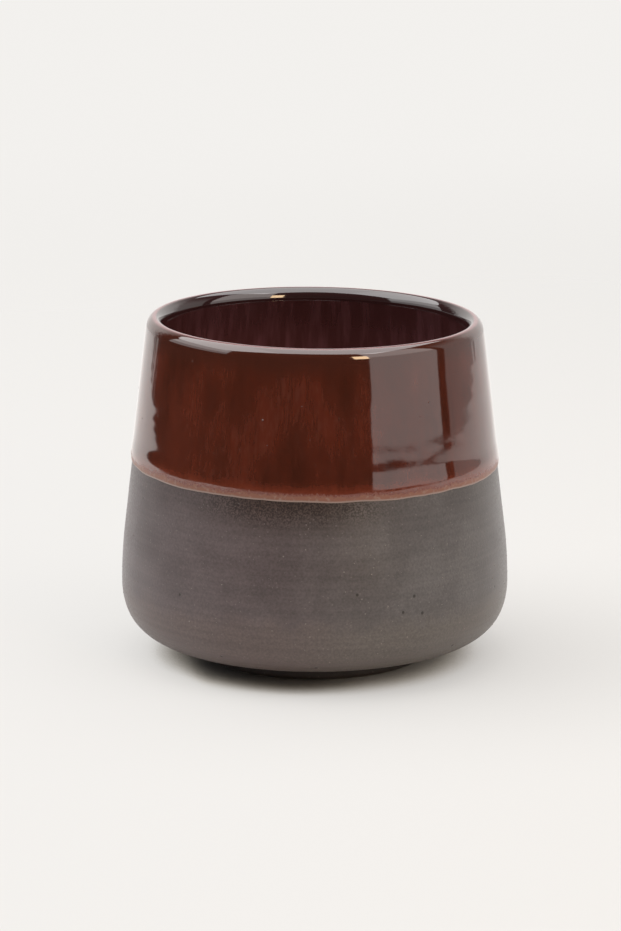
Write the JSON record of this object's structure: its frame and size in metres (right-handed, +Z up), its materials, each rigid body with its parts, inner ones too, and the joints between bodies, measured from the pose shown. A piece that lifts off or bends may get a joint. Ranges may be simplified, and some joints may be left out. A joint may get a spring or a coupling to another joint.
{
  "type": "espresso cup",
  "caption": "Handleless stoneware espresso cup with a tapered wall, low round belly, bare clay base on a turned foot ring, and dark glossy glaze on the upper outside and inside.",
  "frame": {"origin": "on the cup's axis, in the plane that the foot ring rests on", "axes": "+Z up along the cup's axis, +X and +Y across it; the cup is round, so no side is the front"},
  "size_m": [0.0698, 0.0696, 0.0614],
  "materials": {
    "bare_clay": "unglazed, fine-grained, matt",
    "outer_glaze": "glossy red-brown with soft vertical streaks",
    "liner_glaze": "glossy aubergine-brown"
  },
  "bodies": {
    "root": {"clay_body": "bare_clay", "outer_glaze": "outer_glaze", "liner_glaze": "liner_glaze"}
  },
  "joints": []
}
